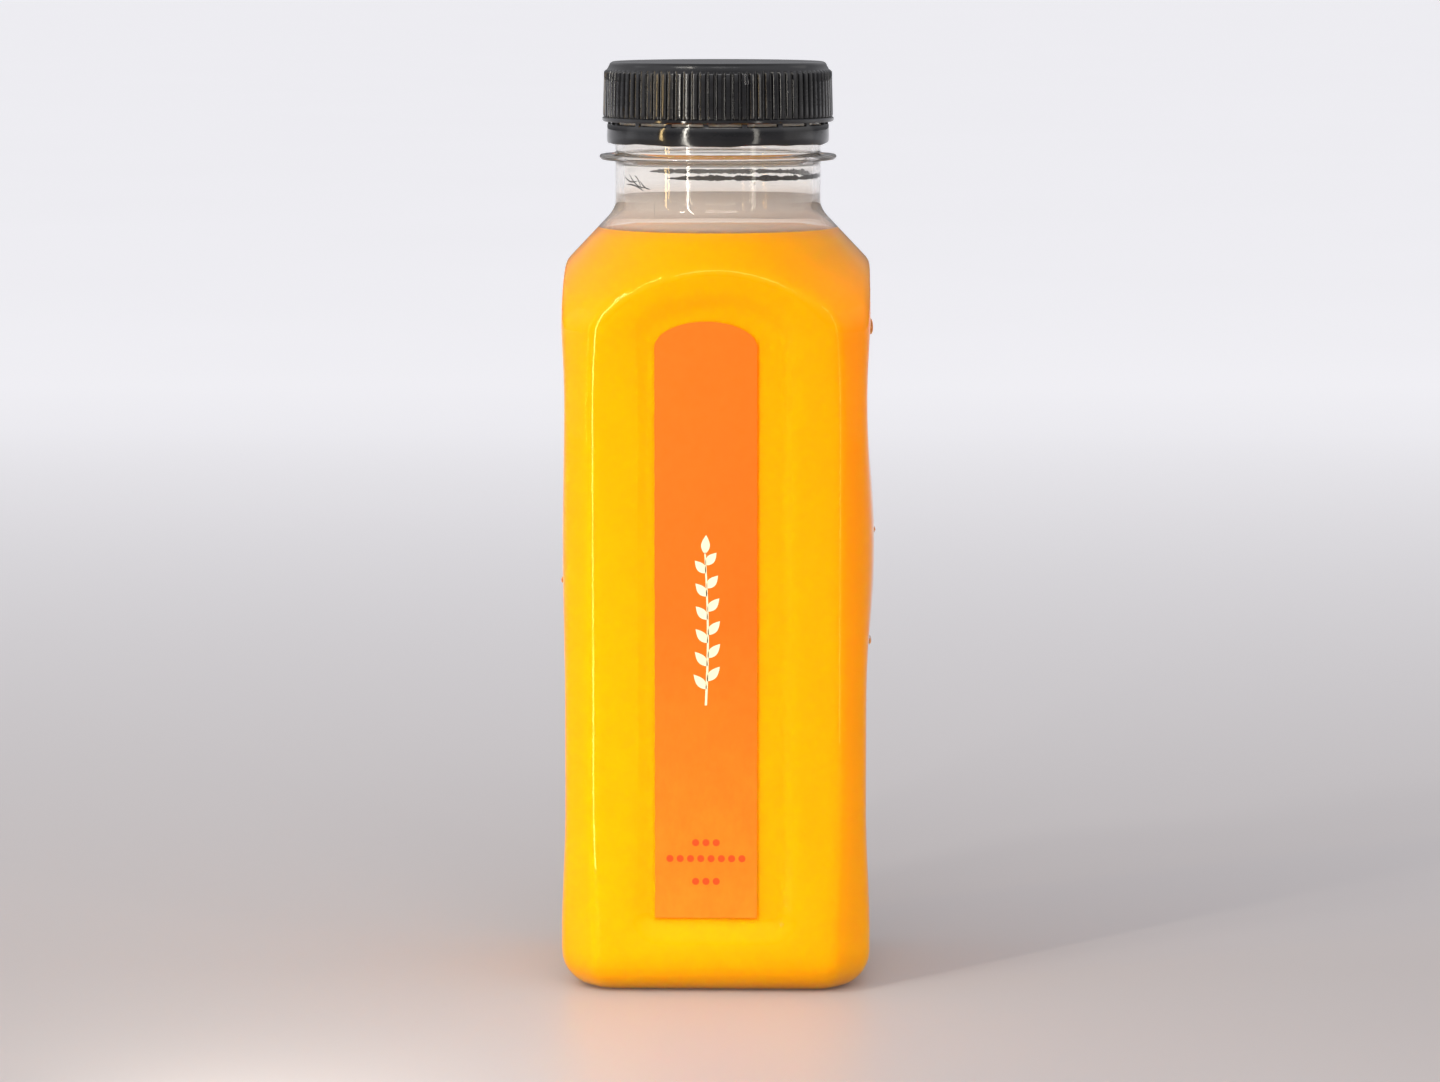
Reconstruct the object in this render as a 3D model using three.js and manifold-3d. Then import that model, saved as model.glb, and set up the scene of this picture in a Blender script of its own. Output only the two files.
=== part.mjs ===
// A small square bottle of orange juice in clear plastic, with a black ribbed screw cap
// and a narrow label with an arched top. Millimetres, +Z up, the label faces -Y,
// and the origin is the centre of the base.
import * as THREE from 'three';
import { mergeVertices } from 'three/addons/utils/BufferGeometryUtils.js';
import Module from 'manifold-3d';

const wasm = await Module();
wasm.setup();

// Body: a turned bottle of cornerRadius, pressed flat on four sides
const cornerRadius = 33.9;
const faceHalfWidth = 26.2;
const baseBumper = 0.75;
const baseBumperTop = 9;
const baseBumperEnd = 32;
const shoulderBumper = 0.5;
const shoulderBumperBottom = 118;
const shoulderBumperEnd = 104;
const bottomEdgeRadius = 6.6;
const dishRadius = 16;
const dishHeight = 3;
const wall = 0.5;

// Shoulder: a cone from the corners up to the neck, rounded where it meets the sides
const shoulderBottom = 118.4;
const shoulderTop = 135.1;
const shoulderRound = 3.4;
const verticalEdgeSoftness = 0.8;
const archEdgeSoftness = 1.7;
const archSoftnessStart = 112;
const archSoftnessEnd = 122;

// Neck, with its carrying ring and the bead that holds the tamper band
const neckRadius = 18;
const neckBore = 16.6;
const ringRadius = 20.8;
const ringHeight = 144.2;
const ringHalfThickness = 0.55;
const beadRadius = 18.35;
const beadBottom = 147.6;
const beadTop = 149.2;
const rimHeight = 159.1;

// Recessed panel on each side
const recessHalfWidth = 11.9;
const recessBottom = 12.7;
const recessTop = 119.2;
const recessArchRise = 6.2;
const recessCorner = 2.6;
const recessFloor = 25.65;
const recessSlopeDepth = 0.45;
const recessSlopeWidth = 1.1;

// Juice
const juiceLevel = 131.3;
const juiceClearance = 0.3;

// Label
const labelWidth = 17.6;
const labelCentre = -1.55;
const labelBottom = 13.5;
const labelTop = 117;
const labelArchRise = 4.5;
const labelThickness = 0.15;
const labelClearance = 0.05;

// Cap, one moulding: a ribbed crown, a tamper band below it and the thin bridges between
const capTop = 160.8;
const capTopRadius = 19.1;
const capTopEdge = 1;
const capCeiling = 159.4;
const ribTop = 159.5;
const ribBottom = 151.1;
const capRim = 150.4;
const grooveRadius = 19.7;
const ribRadius = 20.2;
const ribTaper = 0.25;
const ribCount = 88;
const ribTopShare = 0.42;
const ribFootShare = 0.66;
const capRimRadius = 20.3;
const capBore = 18.6;
const bandTop = 149.95;
const bandBottom = 146.6;
const bandRadius = 19.45;
const bandBore = 18.7;
const bridgeCount = 18;
const bridgeWidth = 0.9;
const bridgePhaseDegrees = 15;

// Fineness of the facets: columns in an eighth of a turn, of which the last starts at the corner's edge
const columnsPerEighth = 5;
const bodyColumns = 8 * columnsPerEighth;
const capColumns = ribCount / 2;

const eighthTurn = Math.PI / 4;
const quarterTurn = Math.PI / 2;
const fullTurn = Math.PI * 2;

function solidOf(geometry) {
  geometry.deleteAttribute('normal');
  geometry.deleteAttribute('uv');
  const merged = mergeVertices(geometry, 1e-4);
  return new wasm.Manifold(new wasm.Mesh({
    numProp: 3,
    vertProperties: new Float32Array(merged.attributes.position.array),
    triVerts: new Uint32Array(merged.index.array),
  }));
}

function geometryOf(solid) {
  const mesh = solid.getMesh();
  const geometry = new THREE.BufferGeometry();
  geometry.setAttribute('position', new THREE.BufferAttribute(mesh.vertProperties, 3));
  geometry.setIndex(new THREE.BufferAttribute(mesh.triVerts, 1));
  geometry.computeVertexNormals();
  return geometry;
}

// Turns a profile of [radius, height] points about the Z axis.
function turned(profile, columns) {
  const points = profile.map(([radius, height]) => new THREE.Vector2(radius, height));
  const geometry = new THREE.LatheGeometry(points, columns);
  geometry.rotateX(quarterTurn);
  return geometry;
}

// The smaller of two lengths, eased over `softness` where they are alike.
function softMin(first, second, softness) {
  const closeness = Math.max(softness - Math.abs(first - second), 0) / softness;
  return Math.min(first, second) - closeness * closeness * softness / 4;
}

// How far the surface that lies `inward` millimetres inside the skin stands back at this height,
// with the rounded bottom edge taken into account.
function setBack(height, inward) {
  const below = Math.max(bottomEdgeRadius - height, 0);
  const reach = (bottomEdgeRadius - inward) ** 2 - below ** 2;
  return bottomEdgeRadius - Math.sqrt(Math.max(reach, 0));
}

function sideHalfWidth(height) {
  const nearBase = 1 - THREE.MathUtils.smoothstep(height, baseBumperTop, baseBumperEnd);
  const nearShoulder = THREE.MathUtils.smoothstep(height, shoulderBumperEnd, shoulderBumperBottom);
  return faceHalfWidth + baseBumper * nearBase + shoulderBumper * nearShoulder;
}

// Moves the columns of a turned solid so that one of them runs along each vertical edge of the body.
function crowdedAngle(angle) {
  const cornerEdge = Math.acos(faceHalfWidth / cornerRadius);
  const lastColumn = eighthTurn * (columnsPerEighth - 1) / columnsPerEighth;
  const side = Math.round(angle / quarterTurn) * quarterTurn;
  const fromMiddle = Math.abs(angle - side);
  const moved = fromMiddle <= lastColumn
    ? fromMiddle * cornerEdge / lastColumn
    : cornerEdge + (fromMiddle - lastColumn) * (eighthTurn - cornerEdge) / (eighthTurn - lastColumn);
  return side + Math.sign(angle - side) * moved;
}

// Presses the four flat sides into a turned solid.
function pressSides(geometry, inward) {
  const position = geometry.attributes.position;
  for (let i = 0; i < position.count; i += 1) {
    const radius = Math.hypot(position.getX(i), position.getY(i));
    const height = position.getZ(i);
    const angle = crowdedAngle(Math.atan2(position.getY(i), position.getX(i)));
    const lean = Math.max(Math.abs(Math.cos(angle)), Math.abs(Math.sin(angle)));
    const sideDistance = (sideHalfWidth(height) - setBack(height, inward)) / lean;
    const archShare = THREE.MathUtils.smoothstep(height, archSoftnessStart, archSoftnessEnd);
    const softness = THREE.MathUtils.lerp(verticalEdgeSoftness, archEdgeSoftness, archShare);
    const pressed = softMin(radius, sideDistance, softness);
    position.setXY(i, pressed * Math.cos(angle), pressed * Math.sin(angle));
  }
  return geometry;
}

// Profile of the turned body from the middle of the base up to the top of the shoulder cone.
function bodyProfile(inward, top) {
  const profile = [
    [0, dishHeight + inward],
    [dishRadius * 0.55, dishHeight * 0.7 + inward],
    [dishRadius, inward],
  ];
  const edgeSteps = 3;
  for (let step = 0; step <= edgeSteps; step += 1) {
    const angle = quarterTurn * step / edgeSteps;
    const reach = bottomEdgeRadius - inward;
    profile.push([
      cornerRadius - bottomEdgeRadius + reach * Math.sin(angle),
      bottomEdgeRadius - reach * Math.cos(angle),
    ]);
  }
  const sideHeights = [baseBumperTop, 17, 25, baseBumperEnd, shoulderBumperEnd, 108, archSoftnessStart];
  for (const height of sideHeights) profile.push([cornerRadius - inward, height]);
  const coneHeights = [116, 118, 119.8, 121.6, 123.4, 125.2, 127, 129.2, juiceLevel, 134];
  for (const height of coneHeights) {
    if (height <= top) profile.push([coneRadius(height, inward), height]);
  }
  return profile;
}

// Radius of the shoulder cone, rounded off into the upright corners.
function coneRadius(height, inward) {
  const slope = (cornerRadius - neckRadius) / (shoulderTop - shoulderBottom);
  const squareInward = inward * Math.hypot(1, slope);
  const cone = neckRadius + (shoulderTop - height) * slope - squareInward;
  return softMin(cornerRadius - inward, cone, shoulderRound);
}

// Outline with square or rounded bottom corners and a half-ellipse on top.
function archedOutline({ centre, halfWidth, bottom, top, rise, corner }) {
  const shape = new THREE.Shape();
  const springing = top - rise;
  shape.moveTo(centre - halfWidth + corner, bottom);
  shape.lineTo(centre + halfWidth - corner, bottom);
  if (corner > 0) {
    shape.absarc(centre + halfWidth - corner, bottom + corner, corner, -quarterTurn, 0, false);
  }
  shape.lineTo(centre + halfWidth, springing);
  shape.absellipse(centre, springing, halfWidth, rise, 0, Math.PI, false, 0);
  shape.lineTo(centre - halfWidth, bottom + corner);
  if (corner > 0) {
    shape.absarc(centre - halfWidth + corner, bottom + corner, corner, Math.PI, 3 * quarterTurn, false);
  }
  return shape;
}

// What is taken out of one side for its recessed panel, with sloping edges.
function recessCutter(inward, turn) {
  const outline = archedOutline({
    centre: 0,
    halfWidth: recessHalfWidth + inward,
    bottom: recessBottom - inward,
    top: recessTop + inward,
    rise: recessArchRise,
    corner: recessCorner,
  });
  const geometry = new THREE.ExtrudeGeometry(outline, {
    depth: 2 * (cornerRadius - recessFloor),
    curveSegments: 5,
    bevelEnabled: true,
    bevelThickness: recessSlopeDepth,
    bevelSize: recessSlopeWidth,
    bevelSegments: 1,
  });
  geometry.rotateX(quarterTurn);
  geometry.translate(0, -(recessFloor - inward) - recessSlopeDepth, 0);
  geometry.rotateZ(turn);
  return solidOf(geometry);
}

function filledBody(inward, topPoints, top) {
  const profile = [...bodyProfile(inward, top), ...topPoints];
  let solid = solidOf(pressSides(turned(profile, bodyColumns), inward));
  for (let side = 0; side < 4; side += 1) {
    solid = solid.subtract(recessCutter(inward, side * quarterTurn));
  }
  return solid;
}

function makeBottle() {
  const neckOutside = [
    [neckRadius, shoulderTop + 0.5],
    [neckRadius, ringHeight - 2 * ringHalfThickness],
    [ringRadius - 0.3, ringHeight - ringHalfThickness],
    [ringRadius, ringHeight],
    [ringRadius - 0.3, ringHeight + ringHalfThickness],
    [neckRadius, ringHeight + 2 * ringHalfThickness],
    [neckRadius, beadBottom],
    [beadRadius, beadBottom + 0.4],
    [beadRadius, beadTop - 0.4],
    [neckRadius, beadTop],
    [neckRadius, rimHeight - 0.4],
    [neckRadius - 0.4, rimHeight],
    [0, rimHeight],
  ];
  const neckInside = [
    [neckBore, shoulderTop + 2],
    [neckBore, rimHeight + 1],
    [0, rimHeight + 1],
  ];
  const outside = filledBody(0, neckOutside, shoulderTop);
  const inside = filledBody(wall, neckInside, shoulderTop - 2);
  return outside.subtract(inside);
}

function makeJuice() {
  return filledBody(wall + juiceClearance, [[0, juiceLevel]], juiceLevel);
}

function makeLabel() {
  const outline = archedOutline({
    centre: labelCentre,
    halfWidth: labelWidth / 2,
    bottom: labelBottom,
    top: labelTop,
    rise: labelArchRise,
    corner: 0,
  });
  const geometry = new THREE.ExtrudeGeometry(outline, {
    depth: labelThickness,
    curveSegments: 12,
    bevelEnabled: false,
  });
  geometry.rotateX(quarterTurn);
  geometry.translate(0, -recessFloor - labelClearance, 0);
  return solidOf(geometry);
}

// Ring of ribs round the crown, each with a flat top and sloping sides, a little wider at the bottom.
function ribRing() {
  const outline = new THREE.Shape();
  const pitch = fullTurn / ribCount;
  for (let rib = 0; rib < ribCount; rib += 1) {
    const corners = [
      [-ribFootShare, grooveRadius],
      [-ribTopShare, ribRadius],
      [ribTopShare, ribRadius],
      [ribFootShare, grooveRadius],
    ];
    for (const [share, radius] of corners) {
      const angle = pitch * (rib + share / 2);
      const point = [radius * Math.cos(angle), radius * Math.sin(angle)];
      if (rib === 0 && share === -ribFootShare) outline.moveTo(...point);
      else outline.lineTo(...point);
    }
  }
  const hole = new THREE.Path();
  hole.absarc(0, 0, (capBore + grooveRadius) / 2, 0, fullTurn, true);
  outline.holes.push(hole);
  const geometry = new THREE.ExtrudeGeometry(outline, {
    depth: ribTop - ribBottom + ribTaper,
    curveSegments: capColumns,
    bevelEnabled: false,
  });
  geometry.translate(0, 0, ribBottom - ribTaper);
  const position = geometry.attributes.position;
  for (let i = 0; i < position.count; i += 1) {
    if (position.getZ(i) > ribBottom) {
      const narrower = 1 - ribTaper / ribRadius;
      position.setXY(i, position.getX(i) * narrower, position.getY(i) * narrower);
    }
  }
  return solidOf(geometry);
}

function crown() {
  const profile = [
    [0, capTop],
    [capTopRadius - capTopEdge, capTop],
    [capTopRadius - 0.3 * capTopEdge, capTop - 0.3 * capTopEdge],
    [capTopRadius, capTop - capTopEdge],
    [grooveRadius - ribTaper, ribTop],
    [grooveRadius, ribBottom],
    [capRimRadius, ribBottom],
    [capRimRadius, capRim],
    [capBore, capRim],
    [capBore, capCeiling],
    [0, capCeiling],
  ].reverse();
  return solidOf(turned(profile, capColumns));
}

function tamperBand() {
  const profile = [
    [bandBore, bandBottom],
    [bandRadius, bandBottom],
    [bandRadius, bandTop],
    [bandBore, bandTop],
    [bandBore, bandBottom],
  ];
  return solidOf(turned(profile, capColumns));
}

// One of the thin bridges that hold the tamper band to the crown until it is first opened.
function bridge(turn) {
  const sunk = 0.15;
  const reach = bandRadius - bandBore - 2 * sunk;
  const height = capRim - bandTop + 2 * sunk;
  const geometry = new THREE.BoxGeometry(reach, bridgeWidth, height);
  geometry.translate((bandBore + bandRadius) / 2, 0, (capRim + bandTop) / 2);
  geometry.rotateZ(turn);
  return solidOf(geometry);
}

function makeCap() {
  let cap = crown().add(ribRing()).add(tamperBand());
  for (let i = 0; i < bridgeCount; i += 1) {
    const turn = fullTurn * i / bridgeCount + THREE.MathUtils.degToRad(bridgePhaseDegrees) - quarterTurn;
    cap = cap.add(bridge(turn));
  }
  return cap;
}

const clearPlastic = new THREE.MeshStandardMaterial({
  color: '#e9e6e0',
  roughness: 0.08,
  metalness: 0,
  transparent: true,
  opacity: 0.3,
});
const orangeJuice = new THREE.MeshStandardMaterial({ color: '#feb800', roughness: 0.25, metalness: 0 });
const blackPlastic = new THREE.MeshStandardMaterial({ color: '#17171a', roughness: 0.3, metalness: 0 });
const labelPaper = new THREE.MeshStandardMaterial({ color: '#fc7e24', roughness: 0.6, metalness: 0 });

function namedMesh(name, solid, material) {
  const mesh = new THREE.Mesh(geometryOf(solid), material);
  mesh.name = name;
  return mesh;
}

const juiceBottle = new THREE.Group();
juiceBottle.add(
  namedMesh('bottle', makeBottle(), clearPlastic),
  namedMesh('juice', makeJuice(), orangeJuice),
  namedMesh('cap', makeCap(), blackPlastic),
  namedMesh('label', makeLabel(), labelPaper),
);

export default juiceBottle;
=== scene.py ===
"""A small square bottle of orange juice, dressed over its frame: clear plastic, cloudy juice,
a ribbed black cap and a paper label. Shapes are worked out in millimetres and made in metres."""
import math
import bmesh
import bpy
import numpy as np
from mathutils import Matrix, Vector


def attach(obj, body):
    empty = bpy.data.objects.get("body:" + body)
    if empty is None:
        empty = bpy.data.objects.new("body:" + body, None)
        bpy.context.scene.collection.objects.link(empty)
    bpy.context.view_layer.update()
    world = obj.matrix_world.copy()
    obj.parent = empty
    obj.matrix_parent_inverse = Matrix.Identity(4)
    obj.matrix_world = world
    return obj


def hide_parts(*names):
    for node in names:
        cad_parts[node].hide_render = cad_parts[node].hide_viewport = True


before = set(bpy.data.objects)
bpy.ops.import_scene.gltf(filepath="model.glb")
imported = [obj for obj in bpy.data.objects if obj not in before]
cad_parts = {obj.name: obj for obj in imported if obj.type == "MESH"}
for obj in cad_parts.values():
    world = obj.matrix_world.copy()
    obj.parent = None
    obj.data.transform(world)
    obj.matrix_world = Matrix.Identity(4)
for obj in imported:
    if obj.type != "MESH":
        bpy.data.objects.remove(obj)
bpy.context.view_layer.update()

MM = 0.001
QUARTER_TURN = math.pi / 2
FULL_TURN = 2 * math.pi
SHARP_ANGLE = 35
rng = np.random.default_rng(7)

# Body, in millimetres: a turned bottle pressed flat on four sides
CORNER_RADIUS = 33.9
SIDE_HALF_WIDTH = 26.2
BASE_BUMPER, BASE_BUMPER_TOP, BASE_BUMPER_END = 0.75, 9, 32
SHOULDER_BUMPER, SHOULDER_BUMPER_BOTTOM, SHOULDER_BUMPER_END = 0.5, 118, 104
BOTTOM_EDGE = 6.6
DISH_RADIUS, DISH_HEIGHT = 16, 3
WALL = 0.5
RIGHT_BOW, LEFT_BOW = 1.5, 0.6
BOW_HEIGHT, BOW_REACH, BOW_HALF_WIDTH = 77, 26, 23

# Softness of the upright edges and of the arch above them, by height
EDGE_HEIGHTS, EDGE_SOFTNESS = (112, 118, 124.5), (1.3, 1.5, 0.8)

# How far the close columns reach to both sides of a panel's edge and of a corner's edge
PANEL_EDGE_REACH, CORNER_EDGE_REACH = (1.1, 1.8), (math.radians(3), math.radians(1.6))

# Shoulder and neck
SHOULDER_BOTTOM, SHOULDER_TOP = 118.4, 135.1
SHOULDER_ROUND = 3.4
NECK_RADIUS, NECK_BORE = 18.0, 16.6
NECK_BOTTOM = SHOULDER_TOP + 1.5
NECK_FILLET = 1.4
RING_RADIUS, RING_HEIGHT = 20.8, 144.2
BEAD_RADIUS, BEAD_BOTTOM, BEAD_TOP = 18.35, 147.6, 149.2
RIM_HEIGHT = 159.1

# Recessed panel on each side
RECESS_HALF_WIDTH = 11.9
RECESS_BOTTOM, RECESS_TOP = 12.7, 119.2
RECESS_RISE, RECESS_CORNER = 6.2, 2.6
RECESS_FLOOR = 25.65
RECESS_STEEPNESS = 0.45 / 1.1
RECESS_SOFTNESS, RECESS_FOOT_SOFTNESS = 0.3, 0.7

# Juice
JUICE_LEVEL = 131.2
JUICE_INWARD = 0.38
MENISCUS_HEIGHT, MENISCUS_WIDTH = 0.5, 0.9

# Label
LABEL_HALF_WIDTH, LABEL_CENTRE = 8.8, -1.55
LABEL_BOTTOM, LABEL_TOP, LABEL_RISE = 13.5, 117.0, 4.5
LABEL_THICKNESS = 0.12
PRINT_THICKNESS = 0.02
SPRIG_BOTTOM, SPRIG_TOP, SPRIG_PAIRS = 50.7, 80.6, 6
LEAF_LENGTH, LEAF_HALF_WIDTH, LEAF_LEAN = 3.3, 0.75, 0.72
DOT_ROWS = ((26.7, 3), (23.9, 8), (19.9, 3))
DOT_RADIUS, DOT_PITCH = 0.62, 1.78

# Cap
CAP_TOP = 160.8
CAP_TOP_RADIUS = 19.1
CAP_CEILING = 159.4
RIB_TOP, RIB_BOTTOM = 159.4, 151.1
CAP_RIM = 150.4
GROOVE_RADIUS, RIB_DEPTH, RIB_TAPER = 19.7, 0.48, 0.22
RIB_COUNT, POINTS_PER_RIB = 88, 14
RIB_FLANK = (0.24, 0.39)
# How far below the ribs' top, and how strongly the ribs show there
RIB_ROWS = (
    (0, 0), (0.12, 0.45), (0.3, 0.85), (0.55, 1), (2, 1), (4, 1), (6, 1), (7.6, 1),
    (8, 0.9), (8.2, 0.6),
)
CAP_RIM_RADIUS, CAP_BORE = 20.3, 18.6
BAND_TOP, BAND_BOTTOM = 149.95, 146.6
BAND_RADIUS, BAND_BORE = 19.45, 18.7
BRIDGE_COUNT, BRIDGE_WIDTH, BRIDGE_PHASE = 18, 0.9, math.radians(15)

# Drops: the angle round the bottle from the right, the height, the width and the length of each
WALL_DROPS = (
    (-27, 115.4, 1.5, 2.6), (-24, 80.0, 1.3, 1.6), (-25, 60.5, 1.4, 1.9),
    (207, 71.1, 1.1, 1.3), (205, 44.6, 1.0, 1.2), (-66.2, 12.4, 0.6, 0.8),
)
CAP_DROPS = ((-74.8, 158.0, 0.9, 1.9), (-98, 153.6, 0.4, 0.5), (-52, 156.0, 0.35, 0.45))
NECK_SPECKS = (
    (-140, 136.6, 0.3, 0.4), (-108, 131.9, 0.35, 0.3), (-102, 135.8, 0.4, 0.5),
    (-61, 134.9, 0.4, 0.3), (-67, 140.1, 0.5, 0.4), (-57, 134.8, 0.3, 0.3),
)
DROP_THICKNESS, SPECK_THICKNESS, DROP_SAG = 0.35, -0.3, 0.25

# Dried juice in the neck: the line round it, and for each smear the angle and height of both its
# ends and how far it sags between them
RESIDUE_HEIGHT = 141.0
RESIDUE_START, RESIDUE_END = math.radians(-120), math.radians(140)
SMEARS = (
    (-158, 141.0, -143, 140.3, 0.5), (-152, 141.5, -136, 139.2, 0.7),
    (-155, 139.6, -137, 138.6, -0.4), (-146, 141.2, -139, 138.7, -0.6),
    (-141, 140.4, -132, 139.0, 0.4), (-129, 136.9, -130, 134.2, 0.3),
)
SMEAR_HALF_WIDTH = 0.13

# Colours, in linear light
# Juice: lighter low down by painted light from below; darker near its top and toward the right by
# painted shade; its pulp specks are its own
JUICE_PAINTED_LIGHT_LOW, JUICE_HIGH, JUICE_TOP_PAINTED_SHADE = (1.0, 0.455, 0.0), (1.0, 0.325, 0.0), (0.64, 0.285, 0.0)
JUICE_PULP, JUICE_PAINTED_SHADE = (0.97, 0.32, 0.0), (1.0, 0.29, 0.0)
LABEL_LOW, LABEL_HIGH, LABEL_FIBRE = (1.0, 0.275, 0.012), (1.0, 0.153, 0.005), (0.90, 0.13, 0.004)
CREAM, CREAM_SHADE = (1.0, 0.87, 0.60), (0.96, 0.74, 0.42)
RED, RED_SHADE = (0.93, 0.085, 0.012), (0.85, 0.06, 0.01)
RESIDUE_DARK, RESIDUE_LIGHT = (0.002, 0.0015, 0.001), (0.012, 0.008, 0.005)
BLACK_DARK, BLACK_LIGHT = (0.0015, 0.0015, 0.002), (0.008, 0.008, 0.009)
DROP_DARK, DROP_LIGHT = (0.97, 0.96, 0.95), (1.0, 1.0, 1.0)
# Floor: darker near the bottle and lighter behind it, which is painted light; its tone that differs
# at random is its own
FLOOR_NEAR, FLOOR_FAR, FLOOR_TONE = (0.51, 0.475, 0.47), (0.86, 0.85, 0.87), (0.60, 0.59, 0.60)

# Clear plastic: its tint where juice touches it, where a film of juice is left and in the neck
WET_TINT, FILM_TINT, NECK_TINT = (0.975, 0.97, 0.965), (0.845, 0.762, 0.69), (0.95, 0.93, 0.90)
WET_GLOSS_TINT, DRY_GLOSS_TINT = (1.0, 0.85, 0.3), (1.0, 1.0, 1.0)
WET_IOR, DRY_IOR = 1.34, 1.37
NECK_HAZE, SHOULDER_HAZE, BAND_HAZE = 0.04, 0.13, 0.4

# Heights between which a material changes, in metres
PLASTIC_DRIES, HAZE_STARTS, FILM_ENDS, BAND_STARTS = (
    (0.1305, 0.1325), (0.1318, 0.1325), (0.1365, 0.1395), (0.1485, 0.1500))
# The juice's painted light from below fades over the first heights, its painted shade near the top
# comes in over the second, and it turns glossy over the third
JUICE_LOW_LIGHT_HEIGHTS, JUICE_TOP_SHADE_HEIGHTS, JUICE_GLOSS_STARTS = (0.0, 0.112), (0.113, 0.129), (0.1300, 0.1312)
LABEL_DEEPENS = (0.013, 0.065)

# Distances toward the right and toward the back over which the juice's painted shade, the floor's
# painted light and the floor's painted glow change, in metres
JUICE_SIDE_SHADE_REACH, FLOOR_PAINTED_LIGHT_REACH, FLOOR_PAINTED_GLOW_REACH = (-0.012, 0.026), (0.0, 1.0), (-0.05, 1.2)
# Strength of the floor's painted glow behind the bottle, though it is no lamp
FLOOR_PAINTED_GLOW, FLOOR_HALF_SIZE = 0.30, 40

# Names of a range's ends in its node, and the range that a noise mostly covers
RANGE_ENDS = ("From Min", "From Max", "To Min", "To Max")
NOISE_RANGE = (0.3, 0.7)

# Sky: brightness by the sine of the height above the horizon, and strength from front to back
SKY = ((0, 0.27), (0.35, 0.92), (0.7, 0.92), (1, 0.38))
SKY_COLOUR = (0.95, 0.95, 1)
SKY_FADES, SKY_STRENGTH, SKY_STRENGTH_BEHIND = (-0.2, 0.6), 1.15, 0.65

# Lights: name, angle to the right of the camera's side, distance, height, size, power, colour, and
# whether the light is raised and aimed down at the bottle
LIGHTS = (
    ("window_left", -31, 0.16, 0.156, (0.0065, 0.3), 0.2, (1.0, 0.95, 0.85), False),
    ("window_high", -44, 0.3, 0.37, (0.036, 0.036), 0.27, (1.0, 0.97, 0.9), True),
    ("room_left", -85, 1.0, 0.402, (0.8, 0.8), 0.9, (0.95, 0.97, 1.0), False),
    ("room_right", 95, 1.0, 0.402, (0.8, 0.8), 0.75, (1.0, 0.97, 0.92), False),
    ("ceiling_front", 5, 0.85, 0.8, (0.6, 0.27), 2.1, (1.0, 0.98, 0.95), True),
    ("golden_strip", -59, 1.0, 0.302, (0.035, 0.6), 1.5, (1.0, 0.7, 0.3), False),
    ("window_right", 40, 0.3, 0.152, (0.02, 0.3), 0.1, (1.0, 0.95, 0.85), False),
)
RAISED_AIM = 0.09

# Camera, worked out from the photograph's perspective: a little from above and from the right
CAMERA_DISTANCE, CAMERA_HEIGHT = 879, 179.5
CAMERA_AZIMUTH, CAMERA_PITCH = math.radians(1.2), math.radians(6.7)
CAMERA_LENS, SENSOR_WIDTH = 125, 36
AXIS_LEFT_OF_CENTRE = 0.35


def soft_min(first, second, softness):
    """The smaller of two lengths, eased where they are alike."""
    closeness = np.maximum(softness - np.abs(first - second), 0) / softness
    return np.minimum(first, second) - closeness ** 2 * softness / 4


def soft_max(first, second, softness):
    return -soft_min(-first, -second, softness)


def smooth_step(value, start, end):
    share = np.clip((value - start) / (end - start), 0, 1)
    return share * share * (3 - 2 * share)


def set_back(height, inward):
    """How far the rounded bottom edge sets back a surface that lies inward millimetres deep."""
    below = np.maximum(BOTTOM_EDGE - height, 0)
    reach = (BOTTOM_EDGE - inward) ** 2 - below ** 2
    return BOTTOM_EDGE - np.sqrt(np.maximum(reach, 0))


def side_half_width(height):
    near_base = 1 - smooth_step(height, BASE_BUMPER_TOP, BASE_BUMPER_END)
    near_shoulder = smooth_step(height, SHOULDER_BUMPER_END, SHOULDER_BUMPER_BOTTOM)
    return SIDE_HALF_WIDTH + BASE_BUMPER * near_base + SHOULDER_BUMPER * near_shoulder


def cone_radius(height, inward):
    slope = (CORNER_RADIUS - NECK_RADIUS) / (SHOULDER_TOP - SHOULDER_BOTTOM)
    cone = NECK_RADIUS + (SHOULDER_TOP - height) * slope - inward * math.hypot(1, slope)
    return soft_min(CORNER_RADIUS - inward, cone, SHOULDER_ROUND)


def outside_arch(across, height, half_width, bottom, top, rise, corner):
    """Signed distance from an outline with rounded bottom corners and a half-ellipse on top."""
    springing = top - rise
    side = np.abs(across) - half_width
    low = np.stack([side + corner, bottom + corner - height])
    box = np.where((low > 0).all(axis=0), np.hypot(*low), low.max(axis=0)) - corner
    above = np.maximum(height - springing, 1e-6)
    ratio = np.hypot(across / half_width, above / rise)
    steepness = np.hypot(across / half_width ** 2, above / rise ** 2)
    arch = (ratio - 1) * ratio / np.maximum(steepness, 1e-6)
    return np.where(height > springing, arch, box)


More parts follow.
